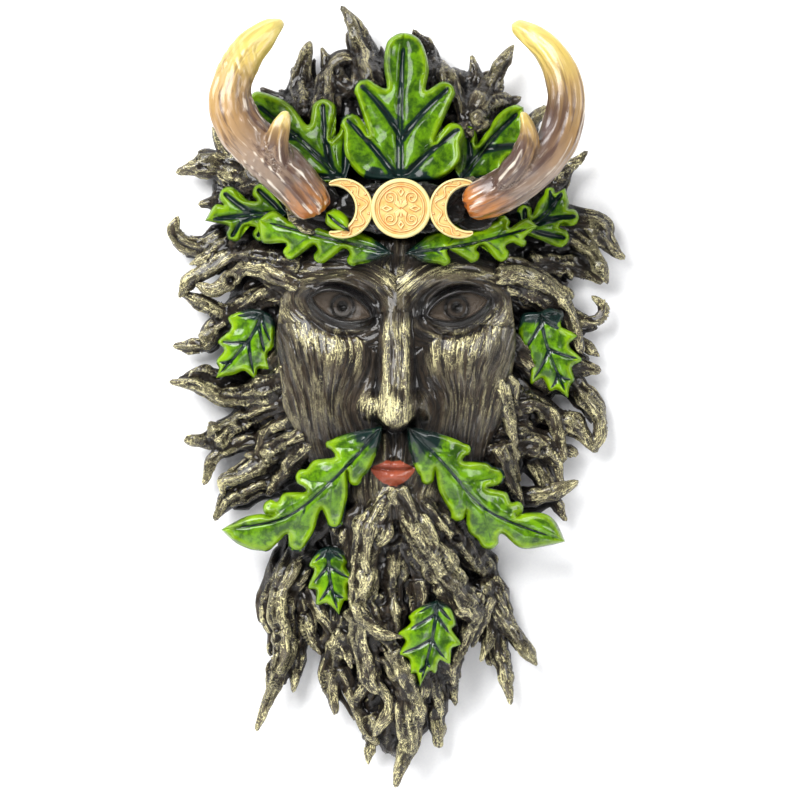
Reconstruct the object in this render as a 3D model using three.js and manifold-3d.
// Green man wall mask: a cast resin face with a mane, beard and crown of roots, oak leaves laid over
// it, two antlers glued into the crown and a triple moon badge glued on between them.
// Millimetres. +Z is up, the wall is the plane y = 0 and the face looks along -Y, so a depth d in the
// comments below is a distance forward of the wall and y = -d. The origin is on the flat back.
import * as THREE from "three";
import { mergeVertices } from "three/addons/utils/BufferGeometryUtils.js";
import Module from "manifold-3d";

// Driving sizes
const PLAQUE_HEIGHT = 389; // lowest beard root to highest crown root
const DRAWN_HEIGHT = 389; // the height that the tables of the carving are drawn at
const RIM_DEPTH = 9; // how far the outer roots stand off the wall, to their centres
const LAYER_LIFT = 4.2; // one layer of roots over the next
const ROOT_SWELL = 1; // girth of every root against its drawn girth
const LEAF_DOME = 2.5; // how far a leaf's midrib stands over its edges
const LEAF_KEEL = 15; // how far a leaf is solid below its edges
const VEIN_SLANT = 0.45; // share of its length that a leaf's broadest side vein runs on towards the tip
const GLUE_GAP = 0.3; // clearance round each glued piece
const SOCKET_DEPTH = 6; // how far an antler's foot is let into the crown

const BADGE_THICKNESS = 4;
const BADGE_BACK = 57; // depth of the badge's flat back
const SEAT_DEPTH = 22; // how far the seat of the badge reaches down into the crown
const MOON_RADIUS = 15;
const MOON_RIM = 1.6; // width of the full moon's raised rim
const MOON_RELIEF = 0.9; // how far that rim stands proud
const CRESCENT_BITE = 14; // radius of the circle that hollows a crescent
const CRESCENT_WIDTH = 10.2; // a crescent at its broadest
const MOON_OVERLAP = 1; // how far a crescent runs into the full moon's edge

const POCKET_WIDTH = 10; // hanging pocket in the back, for the head of a screw
const POCKET_TALL = 16;
const POCKET_DEEP = 10;
const POCKET_TOP = 112; // height of the pocket's upper end above the origin

const MOUND_SIDES = 8;
const ROOT_SIDES = 4;
const ROOT_RUN_IN = 5; // how far a root's foot runs on into the mass behind it
const BACK_MARGIN = 4; // how far solids run behind the wall before the back is cut flat
const scale = PLAQUE_HEIGHT / DRAWN_HEIGHT;

const wasm = await Module();
wasm.setup();

// Solids from three.js geometries

/** Turns a closed three.js geometry into a solid, after moving each vertex by place(vertex). */
function solid(geometry, place = (v) => v) {
  geometry.deleteAttribute("normal");
  geometry.deleteAttribute("uv");
  const merged = mergeVertices(geometry, 1e-4);
  const position = merged.getAttribute("position");
  const v = new THREE.Vector3();
  for (let i = 0; i < position.count; i++) {
    v.fromBufferAttribute(position, i);
    const moved = place(v.clone());
    position.setXYZ(i, moved.x, moved.y, moved.z);
  }
  const triVerts = new Uint32Array(merged.index.array);
  const vertProperties = new Float32Array(position.array);
  const made = new wasm.Manifold(new wasm.Mesh({ numProp: 3, vertProperties, triVerts }));
  if (made.volume() > 0) return made;
  for (let i = 0; i < triVerts.length; i += 3) {
    [triVerts[i + 1], triVerts[i + 2]] = [triVerts[i + 2], triVerts[i + 1]];
  }
  return new wasm.Manifold(new wasm.Mesh({ numProp: 3, vertProperties, triVerts }));
}

/** A closed skin with the topology of a sphere: place(share, angle) gives the point of each vertex,
 * where share runs from 0 at one pole to 1 at the other and angle goes round. */
function skin(sides, rings, place) {
  return solid(new THREE.SphereGeometry(1, sides, rings), (v) =>
    place(Math.acos(THREE.MathUtils.clamp(v.y, -1, 1)) / Math.PI, Math.atan2(v.z, v.x)),
  );
}

/** A solid as a named mesh of the model. */
function mesh(name, body, material) {
  const made = body.getMesh();
  const geometry = new THREE.BufferGeometry();
  geometry.setAttribute("position", new THREE.BufferAttribute(made.vertProperties, made.numProp));
  geometry.setIndex(new THREE.BufferAttribute(made.triVerts, 1));
  geometry.computeVertexNormals();
  const result = new THREE.Mesh(geometry, material);
  result.name = name;
  return result;
}

const { lerp, clamp, smoothstep } = THREE.MathUtils;
const bell = (value, centre, width) => Math.exp(-(((value - centre) / width) ** 2));
/** The point at x and z, a depth forward of the wall. */
const at = (x, z, depth) => new THREE.Vector3(x, -depth, z);

/** Reads a table of rows [height, ...values], from the top down, at a height. */
function read(table, z) {
  const last = table.length - 1;
  if (z >= table[0][0] * scale) return table[0].slice(1).map((n) => n * scale);
  for (let i = 0; i < last; i++) {
    const top = table[i][0] * scale;
    const bottom = table[i + 1][0] * scale;
    if (z >= bottom) {
      const share = smoothstep(top - z, 0, top - bottom);
      return table[i].slice(1).map((n, k) => lerp(n, table[i + 1][k + 1], share) * scale);
    }
  }
  return table[last].slice(1).map((n) => n * scale);
}

// The ground: the low mound that the roots lie on. Rows are height, depth at the middle, half width.
const GROUND = [
  [174, 15, 16],
  [160, 22, 44],
  [145, 29, 62],
  [120, 36, 76],
  [95, 40, 82],
  [50, 34, 85],
  [15, 32, 82],
  [-15, 32, 72],
  [-45, 33, 60],
  [-75, 32, 43],
  [-105, 28, 44],
  [-130, 24, 33],
  [-155, 20, 20],
  [-178, 14, 8],
];

function ground(x, z) {
  const [depth, halfWidth] = read(GROUND, z);
  const share = Math.min(1, Math.abs(x) / halfWidth);
  return RIM_DEPTH + Math.max(0, depth - RIM_DEPTH) * (1 - share ** 2.5);
}

function mound() {
  // One ring of facets at each row of the table, and a pole a little past either end
  const rings = GROUND.length + 1;
  return skin(MOUND_SIDES, rings, (share, angle) => {
    const ring = Math.round(share * rings);
    const row = GROUND[clamp(ring - 1, 0, GROUND.length - 1)].map((n) => n * scale);
    if (ring === 0 || ring === rings) return at(0, row[0] + (ring ? -2 : 2), row[1] / 2);
    const x = row[2] * Math.cos(angle);
    const upward = Math.sin(angle);
    if (Math.abs(upward) < 0.01) return at(x, row[0], RIM_DEPTH / 2);
    return at(x, row[0], upward > 0 ? ground(x, row[0]) : -BACK_MARGIN);
  });
}

// The face. Sizes are in the carving's own millimetres, from its midline and from the origin.
const FACE = {
  middle: -1, // the face's midline, from the plaque's
  eyeSide: 29, // middle of an eye, from the midline
  eyeHeight: 47,
  eyeHalf: 17, // half an eye's width
  lid: 6.2, // how far the lids open above and below
  noseTop: 54,
  noseTip: -10,
  noseProud: 19,
  mouthHeight: -35,
};
// The face's outline: height, half width
const FACE_EDGE = [
  [80, 46],
  [60, 57],
  [30, 60],
  [0, 57],
  [-25, 47],
  [-45, 32],
  [-60, 20],
];

/** Depth of the face's skin at x from its midline. */
function faceDepth(x, z) {
  const side = Math.abs(x);
  const [edge] = read(FACE_EDGE, z * scale).map((n) => n / scale);
  const across = Math.min(1, side / edge);
  let depth = 25 + 23 * Math.sqrt(Math.max(0, 1 - 0.92 * across ** 2.2)) - 0.0006 * (z - 30) ** 2;
  const fromEye = (side - FACE.eyeSide) / FACE.eyeHalf;
  const brow = FACE.eyeHeight + 13 - 3.5 * fromEye ** 2 - 1.5 * fromEye;
  depth += 3.6 * bell(z, brow, 5) * bell(side, FACE.eyeSide - 4, 24);
  depth -= 7.5 * bell(side, FACE.eyeSide - 2, 15) * bell(z, FACE.eyeHeight, 8.5);
  depth += 3.4 * bell(side, 38, 13) * bell(z, 20, 13);
  depth -= 2.6 * bell(side, 33, 12) * bell(z, -22, 16);
  const ball = 1 - fromEye ** 2 - ((z - FACE.eyeHeight) / (FACE.lid * 1.5)) ** 2;
  if (ball > 0) depth += 6.2 * Math.sqrt(ball);
  const down = clamp((FACE.noseTop - z) / (FACE.noseTop - FACE.noseTip), 0, 1);
  const under = smoothstep(z, FACE.noseTip - 8, FACE.noseTip - 1);
  const above = smoothstep(FACE.noseTop + 6 - z, 0, 12);
  const ridge = 4.5 + 2.5 * down;
  const flank = 9 + 6 * down;
  const wedge = 1 - smoothstep(side, ridge, flank);
  depth += (3 + (FACE.noseProud - 3) * down ** 1.2) * wedge * under * above;
  depth += 6.5 * bell(side, 12, 4.5) * bell(z, FACE.noseTip + 5, 5.5);
  depth += 3 * bell(side, 0, 9) * bell(z, FACE.mouthHeight, 9);
  depth += 2.2 * bell(side, 4, 6) * bell(z, FACE.mouthHeight + 3.4, 2.6);
  depth += 2.6 * bell(side, 0, 8) * bell(z, FACE.mouthHeight - 4, 3);
  depth += 4 * bell(side, 0, 13) * bell(z, FACE.mouthHeight - 19, 7);
  return depth;
}

// Heights of the face's rows of facets, closest where the carving turns sharply
const FACE_ROWS = [
  80, 71, 64, 59, 55, 51, 47, 43, 39, 30, 18, 6, -3, -8, -12, -18, -25, -29, -32, -35, -38, -42, -50, -60,
];

function face() {
  const rows = FACE_ROWS.length - 1;
  const plan = new THREE.BoxGeometry(2, 1, 1, 14, rows, 1);
  return solid(plan, (v) => {
    const z = FACE_ROWS[Math.round((0.5 - v.y) * rows)];
    const [edge] = read(FACE_EDGE, z * scale).map((n) => n / scale);
    const x = Math.sign(v.x) * Math.abs(v.x) ** 1.25 * edge;
    const depth = v.z > 0 ? faceDepth(x, z) : 4;
    return at((x + FACE.middle) * scale, z * scale, depth * scale);
  });
}

// Roots. Each row is the line that a root follows from its foot to its tip as points [x, height], its
// half thickness at the foot and at the tip, and its layer.
const ROOTS = {
  crown: [
    [[[-13, 161], [-20.5, 182.5], [-27, 196.5]], 6.5, 3, 1],
    [[[-46, 148], [-49, 164], [-46, 178.5]], 7, 3, 0],
    [[[-40, 146], [-38, 155], [-37.5, 163.5]], 4.5, 2, 1],
    [[[-35, 148], [-34, 164], [-27.5, 171.5], [-18, 167.5], [-9, 156]], 4, 3, 1],
    [[[-26.5, 157.5], [-34, 167], [-38, 175]], 5, 3, 0],
    [[[-49, 145], [-59, 152], [-68, 156.5]], 4.5, 2.5, 0],
    [[[18, 158], [15.5, 176], [8.5, 184.5]], 4.5, 2.5, 0],
    [[[24.5, 155], [23.5, 162], [22.5, 170]], 4, 2, 1],
    [[[33, 136], [29.5, 152.5], [27, 164]], 3.5, 2.5, 1],
    [[[37, 151], [39, 162], [37.5, 171.5]], 4.5, 3, 0],
    [[[40, 146], [49.5, 164], [57.5, 176.5]], 7, 2.5, 1],
    [[[36, 136], [46, 147.5], [59, 152.5]], 7, 3.5, 1],
    [[[58.5, 130], [67, 139], [73.5, 146]], 4.5, 3, 0],
  ],
  leftMane: [
    [[[-79, 112.5], [-88, 125], [-93.5, 137]], 4.5, 1.5, 0],
    [[[-68, 108], [-91.5, 117.5], [-108.5, 115]], 10.5, 4, 0],
    [[[-76.5, 100], [-86.5, 98.5], [-97, 98.5]], 6.5, 4, 0],
    [[[-83, 82.5], [-96.5, 77], [-106.5, 78.5], [-113.5, 84.5], [-111, 90.5]], 6, 2.5, 0],
    [[[-79, 81], [-91.5, 75], [-104, 69]], 5, 2, 1],
    [[[-54, 69], [-76.5, 73], [-94, 67.5], [-104, 60], [-109, 54]], 6.5, 3, 1],
    [[[-54, 59], [-74, 66.5], [-83, 61], [-93, 55.5], [-100, 58]], 5, 2.5, 2],
    [[[-56, 54], [-74, 50], [-88, 44], [-99, 48.5], [-108, 53]], 6.5, 3, 0],
    [[[-74, 44], [-91.5, 37.5], [-97.5, 27.5], [-111, 28]], 5.5, 3, 0],
    [[[-56, 14], [-68, 5], [-86.5, 1], [-101.5, 7.5], [-112.5, 8.5]], 6.5, 3, 1],
    [[[-71, 4], [-96.5, 13], [-109, 11]], 4, 3, 0],
    [[[-48, 1], [-68, -4], [-83, -12.5], [-93, -19], [-104.5, -20]], 7, 4, 0],
    [[[-44.5, 0], [-57.5, -11.5], [-67.5, -16.5], [-69, -25], [-70.5, -32]], 4, 2, 1],
    [[[-65, -19], [-83, -23.5], [-93, -30], [-96.5, -40.5]], 5, 3, 0],
    [[[-65, -30], [-79, -37], [-88, -40], [-88, -46]], 4.5, 3, 1],
    [[[-64, -41], [-79, -47], [-86.5, -51], [-91, -58.5]], 6, 3, 0],
    [[[-47, -26], [-56.5, -37.5], [-65, -46]], 4.5, 3, 1],
  ],
  rightMane: [
    [[[76, 101], [82, 114], [94, 124]], 5, 3, 0],
    [[[79, 89], [97.5, 86.5], [105.5, 80], [112, 72.5]], 7, 3, 0],
    [[[81, 84], [96.5, 75], [101.5, 66.5], [104.5, 59.5]], 5.5, 2.5, 1],
    [[[71, 69], [88.5, 67.5], [101, 61]], 5.5, 3.5, 0],
    [[[55, 62], [71, 58.5], [83.5, 48.5], [90, 35], [92.5, 26]], 5.5, 3, 2],
    [[[58.5, 57], [71, 50], [83.5, 43]], 5, 3.5, 1],
    [[[72.5, 54], [89, 41], [99.5, 39.5], [103.5, 46], [99, 50.5]], 4.5, 3, 0],
    [[[77, 33], [91, 29], [100.5, 23]], 4.5, 2, 0],
    [[[79, 20], [88.5, 17], [98, 15]], 6.5, 4.5, 0],
    [[[79, 17], [92, 4], [100, -6.5], [101.5, -17], [98.5, -24]], 5.5, 3, 0],
    [[[57, 2], [77.5, -9.5], [89.5, -13.5], [98.5, -23]], 6, 4, 0],
    [[[52.5, -4], [66, -1], [77.5, -9], [82.5, -29]], 5, 3, 1],
    [[[51, 5], [55, -7.5], [59.5, -20]], 4.5, 3, 2],
    [[[50, -26], [66, -22.5], [78.5, -30], [82, -39]], 5.5, 3, 1],
    [[[52.5, -28], [57, -41.5], [62, -51.5]], 5, 3, 2],
    [[[62, -50], [77, -48], [88, -42]], 4, 3.5, 1],
    [[[68.5, -31], [78.5, -50], [84, -59.5]], 4.5, 2.5, 0],
  ],
  beard: [
    [[[-34, -57.5], [-46.5, -80], [-49, -102.5]], 7, 5, 0],
    [[[-45, -72.5], [-58, -100], [-57.5, -122.5], [-64, -145], [-71, -165]], 9, 2, 1],
    [[[-46, -95], [-50, -125], [-53, -145]], 6.5, 3, 0],
    [[[-54, -80], [-66.5, -102.5], [-63, -117.5]], 4.5, 3, 0],
    [[[-46.5, -105], [-45, -117.5], [-40, -126]], 4.5, 3, 1],
    [[[-41.5, -99], [-34, -112.5], [-26.5, -124], [-24, -133.5]], 3, 2, 2],
    [[[-28, -120], [-35, -137.5], [-32.5, -155]], 6, 4, 1],
    [[[-3, -50], [-15, -72.5], [-18, -95], [-19, -112]], 8, 5.5, 2],
    [[[-16, -100], [-21, -112.5], [-24, -121]], 4.5, 2.5, 2],
    [[[-18, -106], [-9, -116], [1, -118]], 4, 2, 3],
    [[[-1.5, -50], [5, -75], [16, -97.5]], 6, 4.5, 0],
    [[[-18, -107.5], [-17, -125], [-11.5, -144]], 7, 4.5, 1],
    [[[-14, -140], [-20.5, -153], [-13, -169]], 3, 2, 1],
    [[[-11, -140], [-4, -153], [-12, -169]], 3, 2, 1],
    [[[-12, -164], [-14, -174], [-15, -182]], 4, 2, 0],
    [[[6, -140], [5, -170], [-1, -192]], 6.5, 3, 1],
    [[[15, -134], [19, -157.5], [20.5, -172]], 5, 4, 0],
    [[[20, -124], [27, -142.5], [29, -151.5]], 5.5, 3, 0],
    [[[2.5, -50], [16, -77.5], [28.5, -97.5], [40, -111]], 8.5, 5.5, 2],
    [[[39, -103], [34.5, -120], [27.5, -134]], 4.5, 2, 2],
    [[[39, -103], [46.5, -116], [42.5, -130]], 4.5, 2.5, 1],
    [[[11, -50], [26, -67.5], [40, -84.5]], 7, 3.5, 1],
    [[[29, -60], [41.5, -84], [51, -101.5], [56.5, -111]], 7, 3, 0],
    [[[44, -98], [58.5, -117.5], [69, -133]], 6, 2, 1],
    [[[46, -102], [52.5, -134], [56.5, -151.5]], 5.5, 2.5, 0],
    [[[-26.5, -140], [-18, -164], [-12, -172.5]], 4, 2.5, 1],
  ],
};

function root([line, footHalf, tipHalf, layer]) {
  const centreLine = new THREE.SplineCurve(
    line.map(([x, z]) => new THREE.Vector2(x, z).multiplyScalar(scale)),
  );
  // A ring of facets at each point of the line and a pole at either end
  const rings = line.length + 1;
  return skin(ROOT_SIDES, rings, (share, angle) => {
    const ring = Math.round(share * rings);
    const t = clamp((ring - 1) / (rings - 2), 0, 1);
    const centre = centreLine.getPoint(t);
    const along = centreLine.getTangent(t);
    const half = lerp(footHalf, tipHalf, t) * scale * ROOT_SWELL;
    if (ring === 0) centre.addScaledVector(along, -ROOT_RUN_IN * scale);
    if (ring === rings) centre.addScaledVector(along, half * 0.7);
    const girth = ring === 0 || ring === rings ? 0 : half;
    const lift = (ring === 0 ? 0 : layer) * LAYER_LIFT * scale;
    const depth = ground(centre.x, centre.y) + lift;
    const x = centre.x - along.y * girth * Math.cos(angle);
    const z = centre.y + along.x * girth * Math.cos(angle);
    return at(x, z, depth + girth * Math.sin(angle));
  });
}

// Leaves. A side is drawn from the stalk to the tip as points [along, across], in shares of the
// leaf's length and of its half width: each lobe's end and each bay between two lobes.
const OAK_SIDE = [
  [0, 0],
  [0.1, 0.62],
  [0.38, 0.98],
  [0.42, 0.7],
  [0.36, 0.42],
  [0.5, 0.5],
  [0.68, 0.74],
  [0.72, 0.5],
  [0.62, 0.24],
  [0.78, 0.38],
  [0.93, 0.26],
  [1, 0],
];
const LONG_OAK_SIDE = [
  [0, 0],
  [0.12, 0.4],
  [0.26, 0.72],
  [0.3, 0.5],
  [0.27, 0.3],
  [0.38, 0.6],
  [0.5, 1],
  [0.55, 0.7],
  [0.47, 0.34],
  [0.6, 0.55],
  [0.72, 0.85],
  [0.76, 0.55],
  [0.68, 0.28],
  [0.82, 0.5],
  [0.93, 0.36],
  [1, 0],
];
const THORN_SIDE = [
  [0, 0],
  [0.1, 0.5],
  [0.3, 0.9],
  [0.28, 0.56],
  [0.46, 0.72],
  [0.6, 1],
  [0.58, 0.5],
  [0.74, 0.5],
  [0.86, 0.56],
  [0.85, 0.26],
  [1, 0],
];

// Each leaf: outline; midrib as points [x, height] from the stalk to the tip; half width on the left
// and on the right of the midrib, as seen looking from stalk to tip; height over the ground at the
// stalk and at the tip
const LEAVES = [
  [OAK_SIDE, [[0, 109], [1, 145], [3.5, 184]], 28, 30, 12, 20],
  [OAK_SIDE, [[-28, 108], [-52, 130], [-76, 151]], 20, 26, 8, 18],
  [OAK_SIDE, [[31, 110], [46, 128], [62, 147]], 22, 18, 9, 18],
  [LONG_OAK_SIDE, [[0, 74], [-36, 77], [-70, 91]], 12, 9, 18, 20],
  [LONG_OAK_SIDE, [[3, 74], [40, 76], [74, 82]], 9, 12, 18, 20],
  [LONG_OAK_SIDE, [[-40, 92], [-68, 94], [-98, 91.5]], 16, 15, 12, 14],
  [OAK_SIDE, [[58, 86], [74, 90], [90, 92]], 20, 14, 12, 13],
  [THORN_SIDE, [[-63, 46], [-75, 30], [-92, 12]], 15, 15, 10, 10],
  [THORN_SIDE, [[72, 45], [77, 26], [87, 1]], 18, 18, 10, 9],
  [LONG_OAK_SIDE, [[-6, -14], [-45, -50], [-90, -65]], 23, 18, 22, 18],
  [LONG_OAK_SIDE, [[4, -14], [44, -51], [83, -71]], 17, 21, 22, 18],
  [THORN_SIDE, [[-34, -74], [-33, -91], [-31, -109]], 12, 14, 18, 16],
  [THORN_SIDE, [[20, -99], [16, -120], [11, -143]], 16, 16, 16, 14],
];

function leaf([side, midrib, leftHalf, rightHalf, stalkLift, tipLift]) {
  const rib = new THREE.SplineCurve(
    midrib.map(([x, z]) => new THREE.Vector2(x, z).multiplyScalar(scale)),
  );
  const stalk = rib.getPoint(0);
  const tip = rib.getPoint(1);
  const stalkDepth = ground(stalk.x, stalk.y) + stalkLift * scale;
  const tipDepth = ground(tip.x, tip.y) + tipLift * scale;
  const rows = side.length - 1;
  // Four lines run from the stalk to the tip: the two edges, the midrib and the keel below it
  return skin(4, rows, (share, angle) => {
    const [along, across] = side[Math.round(share * rows)];
    const sideways = Math.cos(angle);
    const upward = Math.sin(angle);
    // A row of the leaf follows a side vein, which leaves the midrib nearer the stalk
    const veinFoot = Math.max(0, along - VEIN_SLANT * across);
    const t = lerp(veinFoot, along, Math.abs(sideways));
    const half = (sideways > 0 ? leftHalf : rightHalf) * scale;
    const p = rib.getPoint(t);
    const onward = rib.getTangent(t);
    const out = sideways * across * half;
    const relief = (upward > 0 ? LEAF_DOME : LEAF_KEEL) * upward * scale;
    return at(p.x - onward.y * out, p.y + onward.x * out, lerp(stalkDepth, tipDepth, t) + relief);
  });
}

// Antlers. Rows run from the foot to the tip: x, height, depth, half thickness.
const LEFT_BEAM = [
  [-42, 97, 56, 10],
  [-53, 110, 61, 12],
  [-67, 124, 65, 12.5],
  [-78, 135, 67, 12],
  [-83.5, 147.5, 66.5, 11.2],
  [-82.5, 160, 65, 10],
  [-75, 174, 61, 8.8],
  [-65, 183.5, 57, 6.8],
  [-57.5, 190, 54, 2.6],
];
const LEFT_TINE = [
  [-56, 110, 68, 6.5],
  [-60, 125, 74, 6],
  [-58, 136, 77, 5],
  [-55, 143, 78, 2.2],
];
const RIGHT_BEAM = [
  [38, 98, 56, 9.6],
  [53, 105, 61, 11],
  [68, 115, 65, 10.6],
  [79, 129, 67, 10.2],
  [83.5, 145, 66.5, 10],
  [82, 160, 64, 9.2],
  [76, 172.5, 61, 7.8],
  [67, 181, 57, 5.8],
  [57, 187.5, 54, 3],
];
const RIGHT_TINE = [
  [51, 106, 66, 7],
  [61, 119, 74, 6],
  [65, 132, 78, 5],
  [61.5, 144, 79, 2.2],
];

/** A bent horn through a table of stations, made thicker all round by extra. */
function horn(stations, sides, rings, extra) {
  const centre = new THREE.CatmullRomCurve3(
    stations.map(([x, z, depth]) => at(x, z, depth).multiplyScalar(scale)),
    false,
    "catmullrom",
  );
  const frames = centre.computeFrenetFrames(rings);
  const last = stations.length - 1;
  return skin(sides, rings, (share, angle) => {
    const i = Math.round(share * rings);
    const t = clamp((i - 1) / (rings - 2), 0, 1);
    const k = Math.min(last - 1, Math.floor(t * last));
    const half = lerp(stations[k][3], stations[k + 1][3], t * last - k) * scale + extra;
    const point = centre.getPoint(t);
    const frame = clamp(Math.round(t * rings), 0, rings);
    const onward = frames.tangents[frame];
    if (i === 0 || i === rings) return point.addScaledVector(onward, (i ? 1 : -1) * half * 0.6);
    return point
      .addScaledVector(frames.normals[frame], half * Math.cos(angle))
      .addScaledVector(frames.binormals[frame], half * Math.sin(angle));
  });
}

const antler = (beam, tine, extra = 0) =>
  horn(beam, 8, 12, extra).add(horn(tine, 6, 7, extra));

/** The mound of the crown that an antler's foot is let into. */
function socketMound([x, z, depth, half]) {
  const radius = (half + 4) * scale;
  return solid(new THREE.SphereGeometry(1, 10, 7), (v) =>
    at(
      x * scale + v.x * radius,
      z * scale + v.z * radius,
      (depth - half + v.y * half) * scale + v.y * SOCKET_DEPTH,
    ),
  );
}

// The badge: a full moon between two crescents, flat behind, with its raised rims in front
const BADGE_X = 1.5 * scale;
const BADGE_Z = 95.5 * scale;
const crescentStep = 2 * MOON_RADIUS - MOON_OVERLAP;
const biteShift = CRESCENT_WIDTH + CRESCENT_BITE - MOON_RADIUS;

/** Stands a flat outline on the badge's back and gives it a thickness, grown all round by extra. */
function plate(shape, extra) {
  const thick = BADGE_THICKNESS + 2 * extra;
  const drawn = new THREE.ExtrudeGeometry(shape, { depth: thick, bevelEnabled: false, curveSegments: 16 });
  return solid(drawn, (v) => at(BADGE_X + v.x, BADGE_Z + v.y, BADGE_BACK - extra + v.z));
}

/** A crescent whose horns point away from the full moon; side is -1 on the left and 1 on the right. */
function crescent(side, extra) {
  const outer = MOON_RADIUS + extra;
  const bite = CRESCENT_BITE - extra;
  const middle = side * crescentStep;
  // Where the two circles cross, as an angle seen from each centre
  const reach = (outer ** 2 - bite ** 2 + biteShift ** 2) / (2 * biteShift);
  const outerAngle = Math.acos(reach / outer);
  const biteAngle = Math.acos((reach - biteShift) / bite);
  const shape = new THREE.Shape();
  const turn = side < 0 ? Math.PI : 0;
  shape.absarc(middle, 0, outer, turn + outerAngle, turn - outerAngle + 2 * Math.PI, false);
  shape.absarc(middle + side * biteShift, 0, bite, turn - biteAngle + 2 * Math.PI, turn + biteAngle, true);
  return plate(shape, extra);
}

function fullMoon(extra) {
  const outer = MOON_RADIUS + extra;
  const front = BADGE_THICKNESS + extra;
  const profile = [
    [0, -extra],
    [outer, -extra],
    [outer, front + MOON_RELIEF],
    [outer - MOON_RIM - 2 * extra, front + MOON_RELIEF],
    [outer - MOON_RIM - 2 * extra, front],
    [0, front],
  ].map(([r, h]) => new THREE.Vector2(r, h));
  return solid(new THREE.LatheGeometry(profile, 24), (v) =>
    at(BADGE_X + v.x, BADGE_Z - v.z, BADGE_BACK + v.y),
  );
}

const badge = (extra = 0) => fullMoon(extra).add(crescent(-1, extra)).add(crescent(1, extra));

/** The part of the crown that carries the badge: a mound with a flat top under the badge's back. */
function badgeSeat() {
  const halfWide = crescentStep + CRESCENT_WIDTH / 3;
  return solid(new THREE.SphereGeometry(1, 14, 7), (v) =>
    at(
      BADGE_X + v.x * halfWide,
      BADGE_Z + v.z * MOON_RADIUS * 0.9,
      BADGE_BACK + Math.min(0, v.y) * SEAT_DEPTH,
    ),
  );
}

// The back: everything behind the wall's plane is cut away, and the hanging pocket is let in
function behindTheWall() {
  const size = 2 * PLAQUE_HEIGHT;
  return solid(new THREE.BoxGeometry(size, size, size), (v) => at(v.x, v.z, v.y - size / 2));
}

function hangingPocket() {
  const shape = new THREE.Shape();
  const half = POCKET_WIDTH / 2;
  shape.moveTo(-half, POCKET_TOP - POCKET_TALL);
  shape.lineTo(half, POCKET_TOP - POCKET_TALL);
  shape.absarc(0, POCKET_TOP - half, half, 0, Math.PI, false);
  const drawn = new THREE.ExtrudeGeometry(shape, {
    depth: POCKET_DEEP + BACK_MARGIN,
    bevelEnabled: false,
    curveSegments: 6,
  });
  return solid(drawn, (v) => at(v.x, v.y, v.z - BACK_MARGIN));
}

/** The largest body of a solid, with any sealed hollow left between its pieces filled. */
const largest = (body) => body.decompose().sort((a, b) => b.volume() - a.volume())[0];

function maskCasting() {
  const pieces = [
    mound(),
    face(),
    badgeSeat(),
    socketMound(LEFT_BEAM[0]),
    socketMound(RIGHT_BEAM[0]),
    ...Object.values(ROOTS).flat().map(root),
    ...LEAVES.map(leaf),
  ];
  const cut = wasm.Manifold.union([
    antler(LEFT_BEAM, LEFT_TINE, GLUE_GAP),
    antler(RIGHT_BEAM, RIGHT_TINE, GLUE_GAP),
    badge(GLUE_GAP),
    behindTheWall(),
    hangingPocket(),
  ]);
  return largest(wasm.Manifold.union(pieces).subtract(cut));
}

// Finishes, as painted
const rootPaint = new THREE.MeshStandardMaterial({ color: 0x4a4034, roughness: 0.6, metalness: 0 });
const hornPaint = new THREE.MeshStandardMaterial({ color: 0xb08a62, roughness: 0.3, metalness: 0 });
const moonPaint = new THREE.MeshStandardMaterial({ color: 0xe8c477, roughness: 0.4, metalness: 0 });

const greenMan = new THREE.Group();
greenMan.name = "green_man_mask";
const clearOfBadge = badge(GLUE_GAP);
greenMan.add(mesh("mask", maskCasting(), rootPaint));
greenMan.add(mesh("left_antler", largest(antler(LEFT_BEAM, LEFT_TINE).subtract(clearOfBadge)), hornPaint));
greenMan.add(mesh("right_antler", largest(antler(RIGHT_BEAM, RIGHT_TINE).subtract(clearOfBadge)), hornPaint));
greenMan.add(mesh("triple_moon_badge", badge(), moonPaint));

export default greenMan;
